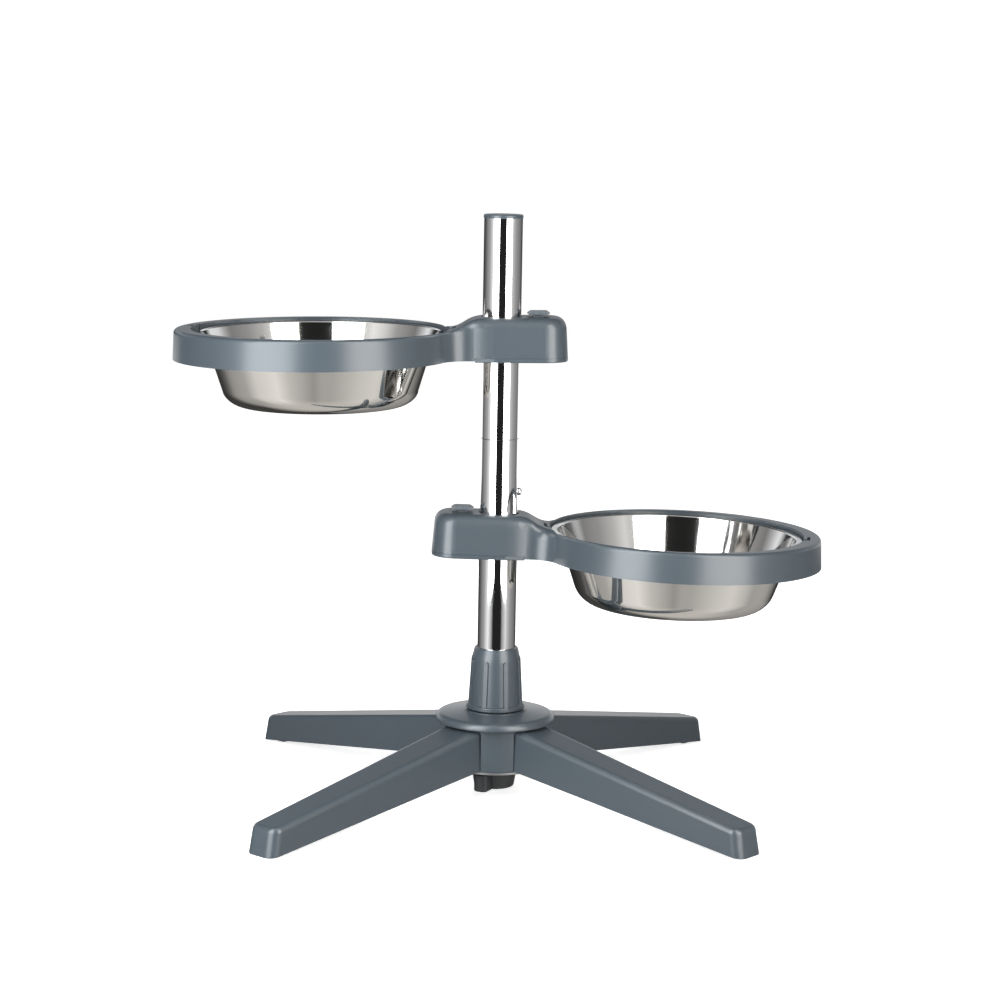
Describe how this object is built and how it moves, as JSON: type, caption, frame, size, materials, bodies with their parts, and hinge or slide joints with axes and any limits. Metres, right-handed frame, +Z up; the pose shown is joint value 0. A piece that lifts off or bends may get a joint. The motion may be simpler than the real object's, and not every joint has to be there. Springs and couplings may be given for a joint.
{
  "type": "dog feeder stand",
  "caption": "Height-adjustable feeding stand: steel bowls in moulded rings that slide, turn and lock on a polished pole over splayed legs.",
  "frame": {"origin": "on the floor, on the axis of the pole", "axes": "+Z up along the pole; +X towards the lower bowl; -Y towards a viewer who has the upper bowl on the left"},
  "size_m": [0.5452, 0.4208, 0.4913],
  "materials": {
    "polished_tube": "mirror-polished stainless tube",
    "plated_steel": "zinc-plated steel",
    "spring_steel": "drawn spring wire and strip",
    "slate_plastic": "satin slate-grey moulding with a fine grain",
    "black_plastic": "satin black moulding",
    "button_plastic": "satin dark grey moulding",
    "pad_rubber": "soft matte rubber",
    "stainless_bowl": "polished inside, satin outside"
  },
  "bodies": {
    "stand": {"pole_lower_tube": "polished_tube", "pole_upper_tube": "polished_tube", "pole_joiner": "plated_steel", "pole_cap": "slate_plastic", "pole_foot_plug": "black_plastic", "pole_foot_nut": "plated_steel", "snap_spring": "spring_steel", "hub": "slate_plastic", "collet_ring": "black_plastic", "leg_clamp_plate": "plated_steel", "leg_back_right": "slate_plastic", "leg_back_left": "slate_plastic", "leg_front_left": "slate_plastic", "leg_front_right": "slate_plastic", "foot_pad_back_right": "pad_rubber", "foot_pad_back_left": "pad_rubber", "foot_pad_front_left": "pad_rubber", "foot_pad_front_right": "pad_rubber"},
    "collar": {"collar_nut": "slate_plastic"},
    "knob": {"wing_knob": "black_plastic", "knob_stud": "plated_steel"},
    "snap": {"snap_button": "polished_tube"},
    "upper_bush": {"upper_slide_bush": "black_plastic"},
    "upper_holder": {"upper_holder_body": "slate_plastic", "upper_lock_cover": "slate_plastic", "upper_cover_screws": "plated_steel", "upper_button_spring": "spring_steel"},
    "upper_plate": {"upper_lock_plate": "plated_steel"},
    "upper_button": {"upper_release_button": "button_plastic"},
    "upper_bowl": {"upper_bowl": "stainless_bowl"},
    "lower_bush": {"lower_slide_bush": "black_plastic"},
    "lower_holder": {"lower_holder_body": "slate_plastic", "lower_lock_cover": "slate_plastic", "lower_cover_screws": "plated_steel", "lower_button_spring": "spring_steel"},
    "lower_plate": {"lower_lock_plate": "plated_steel"},
    "lower_button": {"lower_release_button": "button_plastic"},
    "lower_bowl": {"lower_bowl": "stainless_bowl"}
  },
  "joints": [
    {"name": "collar_turn", "type": "hinge", "parent": "stand", "child": "collar", "pos_m": [0, 0, 0.1], "axis": [0, 0, 1], "continuous": true},
    {"name": "knob_turn", "type": "hinge", "parent": "stand", "child": "knob", "pos_m": [0, 0, 0.02], "axis": [0, 0, 1], "continuous": true},
    {"name": "snap_press", "type": "slide", "parent": "stand", "child": "snap", "axis": [-1, 0, 0], "range_m": [0, 0.004], "stiffness_N_per_m": 1200, "springref_m": -0.002, "deforming": ["snap_spring"]},
    {"name": "upper_height", "type": "slide", "parent": "stand", "child": "upper_bush", "axis": [0, 0, 1], "range_m": [-0.06, 0.075]},
    {"name": "upper_swing", "type": "hinge", "parent": "upper_bush", "child": "upper_holder", "pos_m": [0, 0, 0.3967], "axis": [0, 0, 1], "continuous": true},
    {"name": "upper_button_press", "type": "slide", "parent": "upper_holder", "child": "upper_button", "axis": [0.0129, 0, -0.9999], "range_m": [0, 0.0018], "stiffness_N_per_m": 800, "springref_m": -0.004, "deforming": ["upper_button_spring"]},
    {"name": "upper_plate_tilt", "type": "hinge", "parent": "upper_holder", "child": "upper_plate", "pos_m": [-0.02344, 0, 0.39217], "axis": [0, 1, 0], "range_deg": [0, 2]},
    {"name": "upper_bowl_lift", "type": "slide", "parent": "upper_holder", "child": "upper_bowl", "axis": [-0.0129, 0, 0.9999], "range_m": [0, 0.1]},
    {"name": "lower_height", "type": "slide", "parent": "stand", "child": "lower_bush", "axis": [0, 0, 1], "range_m": [-0.075, 0.012]},
    {"name": "lower_swing", "type": "hinge", "parent": "lower_bush", "child": "lower_holder", "pos_m": [0, 0, 0.2321], "axis": [0, 0, 1], "continuous": true},
    {"name": "lower_button_press", "type": "slide", "parent": "lower_holder", "child": "lower_button", "axis": [-0.0234, -0.0009, -0.9997], "range_m": [0, 0.0018], "stiffness_N_per_m": 800, "springref_m": -0.004, "deforming": ["lower_button_spring"]},
    {"name": "lower_plate_tilt", "type": "hinge", "parent": "lower_holder", "child": "lower_plate", "pos_m": [0.02338, 0.00088, 0.22732], "axis": [0.0375, -0.9993, 0], "range_deg": [0, 2]},
    {"name": "lower_bowl_lift", "type": "slide", "parent": "lower_holder", "child": "lower_bowl", "axis": [0.0234, 0.0009, 0.9997], "range_m": [0, 0.1]}
  ],
  "couplings": [
    {"joint": "upper_plate_tilt", "follows": "upper_button_press", "rad_per_m": 18.5},
    {"joint": "lower_plate_tilt", "follows": "lower_button_press", "rad_per_m": 18.5}
  ]
}
